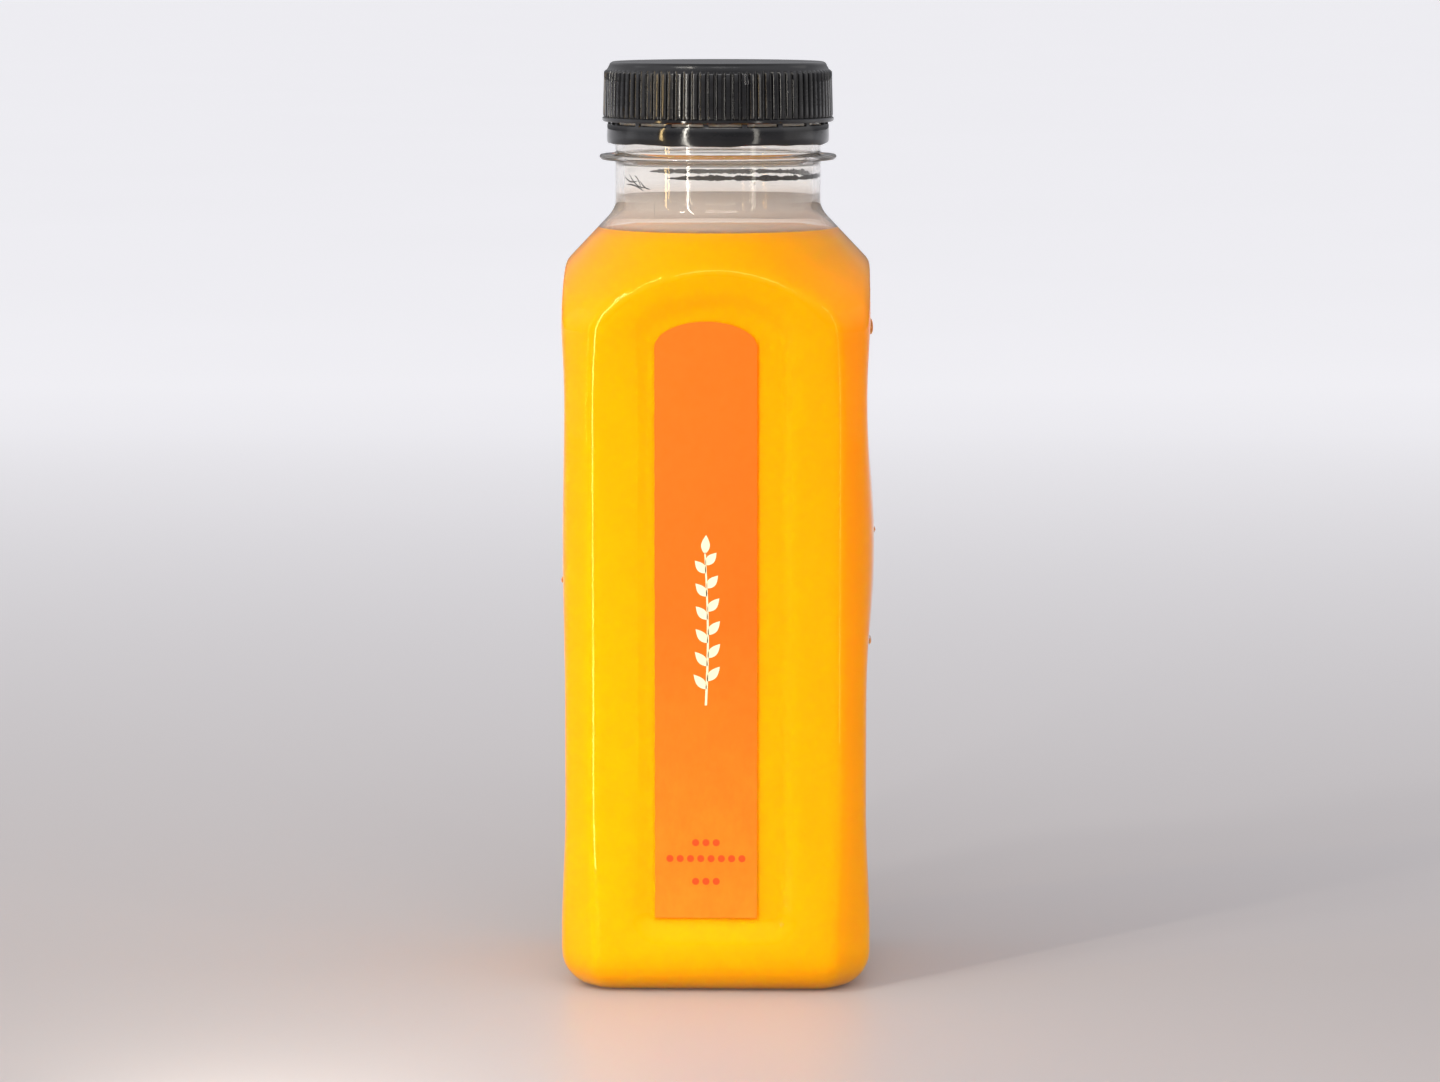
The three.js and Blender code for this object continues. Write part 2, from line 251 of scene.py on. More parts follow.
def body_points(angle, radius, height, inward):
    """Points of the body for arrays of angle, turned radius, height and depth inside the skin."""
    side = np.round(angle / QUARTER_TURN)
    from_middle = angle - side * QUARTER_TURN
    side_distance = side_half_width(height) - set_back(height, inward)
    across = side_distance * np.tan(from_middle)
    crown = np.maximum(1 - (across / BOW_HALF_WIDTH) ** 4, 0)
    bow = np.maximum(1 - ((height - BOW_HEIGHT) / BOW_REACH) ** 2, 0) ** 2
    side_bow = np.where(side % 4 == 0, RIGHT_BOW, 0) + np.where(side % 4 == 2, LEFT_BOW, 0)
    bulge = bow * crown * side_bow
    slope = outside_arch(
        across, height, RECESS_HALF_WIDTH + inward, RECESS_BOTTOM - inward,
        RECESS_TOP + inward, RECESS_RISE, RECESS_CORNER,
    )
    floor = RECESS_FLOOR - inward + soft_max(slope, 0, RECESS_FOOT_SOFTNESS) * RECESS_STEEPNESS
    side_distance = bulge + soft_min(side_distance, floor, RECESS_SOFTNESS)
    softness = np.interp(height, EDGE_HEIGHTS, EDGE_SOFTNESS)
    pressed = soft_min(radius, side_distance / np.cos(from_middle), softness)
    return np.stack([pressed * np.cos(angle), pressed * np.sin(angle), height], axis=-1)


def body_columns(fineness):
    """Angles round the body, close together where the panels' and the corners' edges are."""
    corner_edge = math.acos(SIDE_HALF_WIDTH / CORNER_RADIUS)
    before_panel_edge = math.atan((RECESS_HALF_WIDTH - PANEL_EDGE_REACH[0]) / SIDE_HALF_WIDTH)
    after_panel_edge = math.atan((RECESS_HALF_WIDTH + PANEL_EDGE_REACH[1]) / SIDE_HALF_WIDTH)
    before_corner = corner_edge - CORNER_EDGE_REACH[0]
    after_corner = corner_edge + CORNER_EDGE_REACH[1]
    eighth = np.concatenate([
        np.linspace(0, before_panel_edge, int(10 * fineness), endpoint=False),
        np.linspace(before_panel_edge, after_panel_edge, int(20 * fineness), endpoint=False),
        np.linspace(after_panel_edge, before_corner, int(6 * fineness), endpoint=False),
        np.linspace(before_corner, after_corner, int(12 * fineness), endpoint=False),
        np.linspace(after_corner, QUARTER_TURN / 2, int(5 * fineness), endpoint=False),
    ])
    quarter = np.concatenate([eighth, QUARTER_TURN - eighth[:0:-1], [QUARTER_TURN / 2]])
    quarter = np.sort(quarter)
    return np.concatenate([quarter + turn * QUARTER_TURN for turn in range(4)])


def base_rows(inward, steps):
    rows = []
    for share in np.linspace(0, 1, 6):
        rows.append((DISH_RADIUS * share, inward + DISH_HEIGHT * (1 - share ** 2), inward))
    reach = BOTTOM_EDGE - inward
    for angle in np.linspace(0, QUARTER_TURN, steps):
        rows.append((
            CORNER_RADIUS - BOTTOM_EDGE + reach * math.sin(angle),
            BOTTOM_EDGE - reach * math.cos(angle),
            inward,
        ))
    return rows


def side_rows(inward, fineness, top, neck_radius):
    """Rows up the sides and the shoulder, close together where the panels end and at the arch."""
    spans = [
        (BOTTOM_EDGE + 1, RECESS_BOTTOM - 1.2, 4),
        (RECESS_BOTTOM - 1.2, RECESS_BOTTOM + 2.8, 10),
        (RECESS_BOTTOM + 2.8, RECESS_TOP - RECESS_RISE - 2, 26),
        (RECESS_TOP - RECESS_RISE - 2, RECESS_TOP + 1.6, 24),
        (RECESS_TOP + 1.6, SHOULDER_TOP - 4, 24),
        (SHOULDER_TOP - 4, NECK_BOTTOM, 10),
    ]
    heights = np.concatenate([
        np.linspace(start, end, max(int(count * fineness), 3), endpoint=False)
        for start, end, count in spans
    ])
    heights = np.append(heights[heights < top - 0.05], top)
    radii = soft_max(cone_radius(heights, inward), neck_radius, NECK_FILLET)
    return [(radius, height, inward) for radius, height in zip(radii, heights)]


def rings_of(rows, columns):
    radius, height, inward = (np.array(rows)[:, k, None] for k in range(3))
    angle = columns[None, :]
    shape = np.broadcast_shapes(radius.shape, angle.shape)
    return body_points(
        np.broadcast_to(angle, shape), np.broadcast_to(radius, shape),
        np.broadcast_to(height, shape), np.broadcast_to(inward, shape),
    )


def link_mesh(name, vertices, faces, sharp_angle):
    mesh = bpy.data.meshes.new(name)
    mesh.from_pydata((np.asarray(vertices) * MM).tolist(), [], faces)
    piece = bpy.data.objects.new(name, mesh)
    bpy.context.scene.collection.objects.link(piece)
    return finish_mesh(piece, sharp_angle)


def finish_mesh(piece, sharp_angle):
    """Turns the faces outward and shades them smooth, except over edges sharper than the angle."""
    work = bmesh.new()
    work.from_mesh(piece.data)
    bmesh.ops.recalc_face_normals(work, faces=work.faces)
    work.to_mesh(piece.data)
    work.free()
    piece.data.shade_smooth()
    piece.data.set_sharp_from_angle(angle=math.radians(sharp_angle))
    return piece


def turned_mesh(name, rings):
    """Closed mesh through rings of points whose first and last ring lie on the axis."""
    inner = rings[1:-1]
    rows, columns = inner.shape[:2]
    vertices = np.vstack([inner.reshape(-1, 3), rings[0, :1], rings[-1, :1]])
    index = np.arange(rows * columns).reshape(rows, columns)
    following = np.roll(index, -1, axis=1)
    quads = np.stack([index[:-1], following[:-1], following[1:], index[1:]], axis=-1)
    faces = quads.reshape(-1, 4).tolist()
    first, last = rows * columns, rows * columns + 1
    faces += [(first, b, a) for a, b in zip(index[0].tolist(), following[0].tolist())]
    faces += [(last, a, b) for a, b in zip(index[-1].tolist(), following[-1].tolist())]
    return link_mesh(name, vertices, faces, SHARP_ANGLE)


def looped_mesh(name, rings):
    """Closed mesh through rings of points of which the last joins the first."""
    rows, columns = rings.shape[:2]
    index = np.arange(rows * columns).reshape(rows, columns)
    beside, above = np.roll(index, -1, axis=1), np.roll(index, -1, axis=0)
    quads = np.stack([index, beside, np.roll(above, -1, axis=1), above], axis=-1)
    return link_mesh(name, rings.reshape(-1, 3), quads.reshape(-1, 4).tolist(), SHARP_ANGLE)


def arc_rows(centre, reach, start, end, steps):
    """Profile points on an arc, from one angle to another in degrees."""
    angles = np.radians(np.linspace(start, end, steps))
    return [(centre[0] + reach * math.cos(a), centre[1] + reach * math.sin(a)) for a in angles]


def make_bottle():
    ring_profile = [
        (NECK_RADIUS, SHOULDER_TOP + 2),
        (NECK_RADIUS, RING_HEIGHT - 1.5), (NECK_RADIUS, RING_HEIGHT - 1.3),
        (NECK_RADIUS + 0.05, RING_HEIGHT - 1.0), (NECK_RADIUS + 0.35, RING_HEIGHT - 0.72),
        (RING_RADIUS - 0.9, RING_HEIGHT - 0.52), (RING_RADIUS - 0.3, RING_HEIGHT - 0.45),
        (RING_RADIUS - 0.08, RING_HEIGHT - 0.25), (RING_RADIUS, RING_HEIGHT),
        (RING_RADIUS - 0.08, RING_HEIGHT + 0.25), (RING_RADIUS - 0.3, RING_HEIGHT + 0.42),
        (RING_RADIUS - 0.9, RING_HEIGHT + 0.5), (NECK_RADIUS + 0.35, RING_HEIGHT + 0.62),
        (NECK_RADIUS + 0.05, RING_HEIGHT + 0.85),
        (NECK_RADIUS, RING_HEIGHT + 1.1), (NECK_RADIUS, RING_HEIGHT + 1.3),
    ]
    top_profile = [
        (NECK_RADIUS, BEAD_BOTTOM - 0.4), (NECK_RADIUS, BEAD_BOTTOM - 0.2),
        (NECK_RADIUS + 0.15, BEAD_BOTTOM),
        (BEAD_RADIUS - 0.05, BEAD_BOTTOM + 0.35), (BEAD_RADIUS, BEAD_BOTTOM + 0.6),
        (BEAD_RADIUS, BEAD_TOP - 0.6), (BEAD_RADIUS - 0.1, BEAD_TOP - 0.25),
        (NECK_RADIUS, BEAD_TOP), (NECK_RADIUS, RIM_HEIGHT - 0.4),
        (NECK_RADIUS - 0.12, RIM_HEIGHT - 0.12), (NECK_RADIUS - 0.4, RIM_HEIGHT),
        (NECK_BORE + 0.4, RIM_HEIGHT), (NECK_BORE + 0.12, RIM_HEIGHT - 0.12),
        (NECK_BORE, RIM_HEIGHT - 0.4), (NECK_BORE, 150),
        (NECK_BORE, SHOULDER_TOP + 3), (NECK_BORE, SHOULDER_TOP + 2.6),
    ]
    neck = [(radius, height, 0) for radius, height in ring_profile + top_profile]
    outside = base_rows(0, 10) + side_rows(0, 1, NECK_BOTTOM, NECK_RADIUS)
    inside = base_rows(WALL, 6) + side_rows(WALL, 0.45, NECK_BOTTOM, NECK_BORE)
    rings = rings_of(outside + neck + inside[::-1], body_columns(1))
    return turned_mesh("bottle_shell", rings)


def make_juice():
    """The juice reaches just into the bottle's wall and climbs it a little at the surface."""
    edge_height = JUICE_LEVEL + MENISCUS_HEIGHT
    rows = base_rows(JUICE_INWARD, 7) + side_rows(JUICE_INWARD, 0.6, edge_height, NECK_BORE)
    edge_radius = rows[-1][0]
    for inset in (0.1, 0.25, 0.5, 0.8, 1.2, 1.8, 2.6, 4, 8, 14, edge_radius):
        drop = MENISCUS_HEIGHT * (1 - math.exp(-inset / MENISCUS_WIDTH))
        rows.append((edge_radius - inset, edge_height - drop, JUICE_INWARD))
    return turned_mesh("juice_fill", rings_of(rows, body_columns(0.6)))


def rib_shape(phase):
    """How high a rib stands, from 0 to 1, across its pitch. The phase runs from 0 to 1."""
    from_top = np.abs(phase - 0.5)
    return (1 - smooth_step(from_top, *RIB_FLANK)) * (1 - 0.6 * from_top ** 2)


def cap_rings(profile, rib_strength):
    """Rings of the crown, from rows of radius and height and how strongly the ribs show in each."""
    columns = np.arange(RIB_COUNT * POINTS_PER_RIB)
    angle = columns * FULL_TURN / len(columns)
    ribs = rib_shape(columns % POINTS_PER_RIB / POINTS_PER_RIB)
    rings = []
    for (radius, height), strength in zip(profile, rib_strength):
        reach = radius + RIB_DEPTH * strength * ribs
        level = np.full_like(angle, height)
        rings.append(np.stack([reach * np.cos(angle), reach * np.sin(angle), level], -1))
    return np.array(rings)


def make_crown():
    top_edge = arc_rows((CAP_TOP_RADIUS - 0.9, CAP_TOP - 0.9), 0.9, 90, 12, 7)
    profile = [(radius, CAP_TOP) for radius in (0, 8, 14, CAP_TOP_RADIUS - 1.6)] + top_edge
    profile.append((GROOVE_RADIUS - RIB_TAPER - 0.05, RIB_TOP + 0.05))
    strength = [0] * len(profile)
    for below, share in RIB_ROWS:
        slant = below / (RIB_TOP - RIB_BOTTOM)
        profile.append((GROOVE_RADIUS - RIB_TAPER * (1 - slant), RIB_TOP - below))
        strength.append(share)
    rim = [
        (CAP_RIM_RADIUS - 0.12, RIB_BOTTOM), (CAP_RIM_RADIUS, RIB_BOTTOM - 0.15),
        (CAP_RIM_RADIUS, CAP_RIM + 0.2), (CAP_RIM_RADIUS - 0.15, CAP_RIM),
        (CAP_BORE, CAP_RIM), (CAP_BORE, 155), (CAP_BORE, CAP_CEILING),
        (9, CAP_CEILING), (0, CAP_CEILING),
    ]
    profile += rim
    strength += [0] * len(rim)
    return turned_mesh("cap_crown", cap_rings(profile, strength))


def make_band():
    """The tamper band, with the slightly uneven lower edge of a moulding pushed over a bead."""
    angle = np.linspace(0, FULL_TURN, 360, endpoint=False)
    waver = 0.09 * np.sin(5 * angle + 0.6) + 0.06 * np.sin(11 * angle + 2.0)
    waver = waver + 0.03 * np.sin(23 * angle)
    profile = [
        (BAND_BORE, BAND_BOTTOM + 0.15, 1), (BAND_BORE + 0.15, BAND_BOTTOM, 1),
        (BAND_RADIUS - 0.3, BAND_BOTTOM, 1), (BAND_RADIUS - 0.1, BAND_BOTTOM + 0.12, 1),
        (BAND_RADIUS, BAND_BOTTOM + 0.4, 0.8), (BAND_RADIUS + 0.05, BAND_BOTTOM + 1.3, 0.3),
        (BAND_RADIUS, BAND_TOP - 1, 0), (BAND_RADIUS - 0.02, BAND_TOP - 0.2, 0),
        (BAND_RADIUS - 0.15, BAND_TOP, 0), (BAND_BORE, BAND_TOP, 0),
    ]
    rings = [
        np.stack([radius * np.cos(angle), radius * np.sin(angle), height + share * waver], -1)
        for radius, height, share in profile
    ]
    return looped_mesh("cap_band", np.array(rings))


def make_bridges():
    """The thin bridges between the crown and the tamper band, as one mesh of small blocks."""
    vertices, faces = [], []
    for k in range(BRIDGE_COUNT):
        turn = FULL_TURN * k / BRIDGE_COUNT + BRIDGE_PHASE - QUARTER_TURN
        along = np.array([math.cos(turn), math.sin(turn), 0])
        across = np.array([-math.sin(turn), math.cos(turn), 0])
        width = BRIDGE_WIDTH * (0.9 + 0.2 * rng.random())
        start = len(vertices)
        for height in (BAND_TOP - 0.15, CAP_RIM + 0.15):
            for radius, side in ((BAND_BORE + 0.12, -1), (BAND_RADIUS - 0.12, -1),
                                 (BAND_RADIUS - 0.12, 1), (BAND_BORE + 0.12, 1)):
                point = along * radius + across * side * width / 2
                vertices.append((point[0], point[1], height))
        faces += [[start + v for v in face] for face in (
            (3, 2, 1, 0), (4, 5, 6, 7), (0, 1, 5, 4), (1, 2, 6, 5), (2, 3, 7, 6), (3, 0, 4, 7))]
    return link_mesh("cap_bridges", vertices, faces, 30)


def join_solids(name, pieces):
    """One solid from several that overlap."""
    body, *others = pieces
    for other in others:
        union = body.modifiers.new("join", "BOOLEAN")
        union.operation = "UNION"
        union.solver = "MANIFOLD"
        union.object = other
    evaluated = body.evaluated_get(bpy.context.evaluated_depsgraph_get())
    shape = bpy.data.meshes.new_from_object(evaluated)
    for piece in pieces:
        bpy.data.objects.remove(piece)
    joined = bpy.data.objects.new(name, shape)
    bpy.context.scene.collection.objects.link(joined)
    return finish_mesh(joined, SHARP_ANGLE)


def make_label():
    """The label: a thin sheet on the front panel, with a half-ellipse on top."""
    springing = LABEL_TOP - LABEL_RISE
    heights = np.concatenate([
        np.linspace(LABEL_BOTTOM, springing, 60, endpoint=False),
        springing + LABEL_RISE * np.sin(np.linspace(0, QUARTER_TURN, 22)),
    ])
    lift = np.clip((heights - springing) / LABEL_RISE, 0, 1)
    half = LABEL_HALF_WIDTH * np.sqrt(np.maximum(1 - lift ** 2, 0.0004))
    half = half + 0.03 * np.sin(heights * 0.9) + 0.02 * np.sin(heights * 2.3 + 1)
    across = np.linspace(-1, 1, 25)
    outside = -RECESS_FLOOR - LABEL_THICKNESS
    front = []
    for z, reach in zip(heights, half):
        front.append([(LABEL_CENTRE + a * reach, outside, z) for a in across])
    front = np.array(front)
    back = front.copy()
    back[:, :, 1] = -RECESS_FLOOR + 0.02
    rows, columns = front.shape[:2]
    index = np.arange(rows * columns).reshape(rows, columns)
    count = rows * columns
    faces = np.stack([index[:-1, :-1], index[:-1, 1:], index[1:, 1:], index[1:, :-1]], -1)
    faces = faces.reshape(-1, 4)
    rim = np.concatenate([index[0, :], index[1:, -1], index[-1, -2::-1], index[-2:0:-1, 0]])
    ahead = np.roll(rim, -1)
    walls = np.stack([rim, rim + count, ahead + count, ahead], -1)
    every = np.vstack([faces, faces[:, ::-1] + count, walls]).tolist()
    points = np.vstack([front.reshape(-1, 3), back.reshape(-1, 3)])
    return link_mesh("label_sheet", points, every, 30)


def print_shapes(name, outlines):
    """Thin printed shapes on the label, from outlines of (across, height) points."""
    back = -RECESS_FLOOR - LABEL_THICKNESS + 0.01
    front = -RECESS_FLOOR - LABEL_THICKNESS - PRINT_THICKNESS
    vertices, faces = [], []
    for outline in outlines:
        start, count = len(vertices), len(outline)
        vertices += [(x, front, z) for x, z in outline] + [(x, back, z) for x, z in outline]
        ahead = [(k + 1) % count for k in range(count)]
        faces.append(tuple(start + k for k in range(count)))
        faces.append(tuple(start + count + k for k in reversed(range(count))))
        faces += [
            (start + k, start + ahead[k], start + count + ahead[k], start + count + k)
            for k in range(count)
        ]
    return link_mesh(name, vertices, faces, 30)


def leaf_outline(foot, lean, length, half_width):
    along = np.array([math.sin(lean), math.cos(lean)])
    across = np.array([math.cos(lean), -math.sin(lean)])
    share = np.linspace(0, 1, 11)
    width = half_width * np.sin(math.pi * share ** 0.85)
    right = foot + np.outer(share * length, along) + np.outer(width, across)
    left = foot + np.outer(share * length, along) - np.outer(width, across)
    return np.vstack([right, left[-2:0:-1]]).tolist()


def make_sprig():
    """A pale sprig of leaves in the middle of the label."""
    stem_height = np.linspace(SPRIG_BOTTOM, SPRIG_TOP - LEAF_LENGTH, 24)
    stem_share = (stem_height - SPRIG_BOTTOM) / (SPRIG_TOP - SPRIG_BOTTOM)
    middle = LABEL_CENTRE + 0.35 * np.sin(stem_share * 4)
    half = 0.2 - 0.08 * stem_share
    right, left = middle + half, (middle - half)[::-1]
    stem = list(zip(right, stem_height)) + list(zip(left, stem_height[::-1]))
    tip = np.array([middle[-1], stem_height[-1] - 0.3])
    outlines = [stem, leaf_outline(tip, 0.06, LEAF_LENGTH, LEAF_HALF_WIDTH)]
    for pair in range(SPRIG_PAIRS):
        for sign in (-1, 1):
            share = (pair + 0.7 + 0.35 * (sign > 0)) / (SPRIG_PAIRS + 0.6)
            height = SPRIG_BOTTOM + share * (SPRIG_TOP - SPRIG_BOTTOM - LEAF_LENGTH)
            foot = np.array([np.interp(height, stem_height, middle), height])
            length = LEAF_LENGTH * (1.05 - 0.2 * share)
            outlines.append(leaf_outline(foot, sign * LEAF_LEAN, length, LEAF_HALF_WIDTH))
    return print_shapes("label_sprig", outlines)


def make_dots():
    """Rows of small red dots near the label's foot."""
    turn = np.linspace(0, FULL_TURN, 20, endpoint=False)
    outlines = []
    for height, count in DOT_ROWS:
        for k in range(count):
            middle = LABEL_CENTRE + (k - (count - 1) / 2) * DOT_PITCH
            across, up = DOT_RADIUS * np.cos(turn), DOT_RADIUS * np.sin(turn)
            outlines.append(list(zip(middle + across, height + up)))
    return print_shapes("label_dots", outlines)


def on_wall(angle, height, out):
    return body_points(angle, cone_radius(height, -out), height, -out)


def round_the_axis(radius):
    """A surface like on_wall, for a round part. A negative value of out goes inward."""
    def place(angle, height, out):
        reach = radius + out
        return np.stack([reach * np.cos(angle), reach * np.sin(angle), height], -1)
    return place


def drops_on(name, place, radius, drops, thickness):
    """Flattened drops on a surface, each with its belly a little below its middle."""
    rows, columns = 6, 16
    polar = np.linspace(QUARTER_TURN, 0, rows, endpoint=False)[:, None]
    round_about = np.linspace(0, FULL_TURN, columns, endpoint=False)[None, :]
    vertices, faces = [], []
    for angle, height, width, length in drops:
        oval, lobes = (np.sin(waves * round_about + rng.random() * 6) for waves in (2, 3))
        uneven = 1 + 0.12 * oval + 0.07 * lobes
        across = width / 2 * np.sin(polar) * np.cos(round_about) * uneven
        up = length / 2 * np.sin(polar) * np.sin(round_about) * uneven
        up = up - DROP_SAG * length * np.cos(polar) / 2
        smaller = min(width, length)
        lift = thickness * np.cos(polar) * smaller + 0 * round_about
        turn = math.radians(angle)
        rings = place(turn + across / radius, height + up, lift)
        belly = np.array([height - DROP_SAG * length / 2])
        crown = place(np.array([turn]), belly, np.array([thickness * smaller]))
        foot = place(np.array([turn]), np.array([height]), np.array([0.0]))
        start = len(vertices)
        vertices += [*rings.reshape(-1, 3), crown[0], foot[0]]
        top, bottom = start + rows * columns, start + rows * columns + 1
        last = start + (rows - 1) * columns
        for k in range(columns):
            ahead = (k + 1) % columns
            faces.append((bottom, start + ahead, start + k))
            faces.append((top, last + k, last + ahead))
            for row in range(rows - 1):
                low, high = start + row * columns, start + (row + 1) * columns
                faces.append((low + k, low + ahead, high + ahead, high + k))
    return link_mesh(name, vertices, faces, 60)


def wall_strokes(name, strokes):
    """Thin strokes inside the neck, from arrays of angle, height, half width and thickness."""
    section = np.linspace(0, FULL_TURN, 9, endpoint=False)[:, None]
    place = round_the_axis(NECK_BORE + 0.03)
    vertices, faces = [], []
    for angle, middle, half, thick in strokes:
        lift = -thick * np.maximum(np.cos(section), 0)
        rings = place(angle[None, :] + 0 * section, middle + half * np.sin(section), lift)
        index = len(vertices) + np.arange(rings[:, :, 0].size).reshape(rings.shape[:2])
        above = np.roll(index, -1, axis=0)
        quads = np.stack([index[:, :-1], index[:, 1:], above[:, 1:], above[:, :-1]], -1)
        vertices += rings.reshape(-1, 3).tolist()
        faces += quads.reshape(-1, 4).tolist() + [index[:, 0].tolist(), index[::-1, -1].tolist()]
    return link_mesh(name, vertices, faces, 50)


def make_residue():
    """An uneven line of dried juice round the inside of the neck, broken off on the left."""
    angle = np.linspace(RESIDUE_START, RESIDUE_END, 500)
    taper = np.sqrt(np.clip(np.minimum(angle - RESIDUE_START, RESIDUE_END - angle) / 0.25, 0.02, 1))
    rough = np.convolve(rng.random(len(angle) + 8), np.ones(9) / 9, "valid")
    fine = np.convolve(rng.random(len(angle) + 2), np.ones(3) / 3, "valid")
    half = (0.14 + 0.9 * np.clip(rough - 0.35, 0.02, 1) + 0.24 * fine) * taper
    thick = (0.1 + 0.3 * rough) * taper
    middle = RESIDUE_HEIGHT + 0.12 * np.sin(3 * angle) + 0.3 * (rough - 0.5)
    return wall_strokes("neck_residue", [(angle, middle, half, thick)])


def make_smears():
    """Short curved strokes of juice on the left of the neck."""
    share = np.linspace(0, 1, 14)
    width = SMEAR_HALF_WIDTH * np.sqrt(np.clip(4 * share * (1 - share), 0.05, 1))
    strokes = []
    for start, start_height, end, end_height, sag in SMEARS:
        angle = np.radians(start + (end - start) * share)
        middle = start_height + (end_height - start_height) * share - sag * np.sin(math.pi * share)
        strokes.append((angle, middle, width, width))
    return wall_strokes("neck_smears", strokes)


class Material:
    """A node material with short calls for the nodes used here."""

    def __init__(self, name):
        self.material = bpy.data.materials.new(name)
        self.material.use_nodes = True
        self.tree = self.material.node_tree
        self.shader = self.tree.nodes["Principled BSDF"]
        self.output = self.tree.nodes["Material Output"]
        self.place = self.node("ShaderNodeTexCoord").outputs["Object"]

    def node(self, kind, **settings):
        made = self.tree.nodes.new(kind)
        for key, value in settings.items():
            setattr(made, key, value)
        return made

    def link(self, source, target):
        self.tree.links.new(source, target)

    def set(self, **values):
        for name, value in values.items():
            self.shader.inputs[name.replace("_", " ")].default_value = value

    def feed(self, **sources):
        for name, source in sources.items():
            self.link(source, self.shader.inputs[name.replace("_", " ")])

    def noise(self, scale, detail=2.0, roughness=0.5, stretch=(1, 1, 1)):
        spread = self.node("ShaderNodeMapping")
        spread.inputs["Scale"].default_value = stretch
        self.link(self.place, spread.inputs["Vector"])
        noise = self.node("ShaderNodeTexNoise")
        noise.inputs["Scale"].default_value = scale
        noise.inputs["Detail"].default_value = detail
        noise.inputs["Roughness"].default_value = roughness
        self.link(spread.outputs["Vector"], noise.inputs["Vector"])
        return noise.outputs["Fac"]

    def remap(self, value, low, high, out_low, out_high):
        mapped = self.node("ShaderNodeMapRange")
        for name, number in zip(RANGE_ENDS, (low, high, out_low, out_high)):
            mapped.inputs[name].default_value = number
        self.link(value, mapped.inputs["Value"])
        return mapped.outputs["Result"]

    def axis(self, letter):
        split = self.node("ShaderNodeSeparateXYZ")
        self.link(self.place, split.inputs["Vector"])
        return split.outputs[letter]

    def combine(self, operation, first, second):
        worked = self.node("ShaderNodeMath", operation=operation)
        self.link(first, worked.inputs[0])
        self.link(second, worked.inputs[1])
        return worked.outputs["Value"]

    def mix(self, share, first, second):
        mixed = self.node("ShaderNodeMix", data_type="RGBA")
        self.link(share, mixed.inputs["Factor"])
        for socket, value in ((mixed.inputs[6], first), (mixed.inputs[7], second)):
            if isinstance(value, tuple):
                socket.default_value = (*value, 1)
            else:
                self.link(value, socket)
        return mixed.outputs[2]

    def bump(self, height, distance, before=None):
        bump = self.node("ShaderNodeBump")
        bump.inputs["Distance"].default_value = distance
        self.link(height, bump.inputs["Height"])
        if before is not None:
            self.link(before, bump.inputs["Normal"])
        self.link(bump.outputs["Normal"], self.shader.inputs["Normal"])
        return bump.outputs["Normal"]


def clear_plastic():
    """Clear below the juice line, with a film of juice above it and a slight haze in the neck."""
    made = Material("clear_plastic")
    up = made.axis("Z")
    dry = made.remap(up, *PLASTIC_DRIES, 0, 1)
    above = made.mix(made.remap(up, *FILM_ENDS, 0, 1), FILM_TINT, NECK_TINT)
    shoulder_haze = made.remap(up, *HAZE_STARTS, 0, SHOULDER_HAZE)
    band_haze = made.remap(up, *BAND_STARTS, 0, BAND_HAZE)
    clearer_neck = made.remap(up, *FILM_ENDS, 0, SHOULDER_HAZE - NECK_HAZE)
    haze = made.combine("SUBTRACT", made.combine("ADD", shoulder_haze, band_haze), clearer_neck)
    made.feed(
        Base_Color=made.mix(dry, WET_TINT, above),
        Transmission_Weight=made.remap(haze, 0, 1, 1, 0),
        IOR=made.remap(up, *PLASTIC_DRIES, WET_IOR, DRY_IOR),
        Specular_Tint=made.mix(dry, WET_GLOSS_TINT, DRY_GLOSS_TINT),
        Roughness=made.remap(made.noise(90, 3), 0.3, 0.8, 0.005, 0.025),
    )
    ripples = made.bump(made.noise(45, 2, 0.5, (1, 1, 0.2)), 0.00005)
    made.bump(made.noise(420, 3), 0.000004, before=ripples)
    pass_shadows(made, (0.95, 0.945, 0.93))
    return made.material


def pass_shadows(made, tint):
    """Lets the light through to what the clear piece holds."""
    path = made.node("ShaderNodeLightPath")
    clear = made.node("ShaderNodeBsdfTransparent")
    clear.inputs["Color"].default_value = (*tint, 1)
    mixed = made.node("ShaderNodeMixShader")
    made.link(path.outputs["Is Shadow Ray"], mixed.inputs["Fac"])
    made.link(made.shader.outputs["BSDF"], mixed.inputs[1])
    made.link(clear.outputs["BSDF"], mixed.inputs[2])
    made.link(mixed.outputs["Shader"], made.output.inputs["Surface"])


def drop_material():
    made = Material("clear_drop")
    made.feed(
        Base_Color=made.mix(made.noise(800, 2), DROP_DARK, DROP_LIGHT),
        Roughness=made.remap(made.noise(600, 2), *NOISE_RANGE, 0.0, 0.04),
    )
    made.set(Transmission_Weight=1.0, IOR=1.33)
    made.bump(made.noise(900, 2), 0.00001)
    pass_shadows(made, (0.97, 0.97, 0.97))
    return made.material


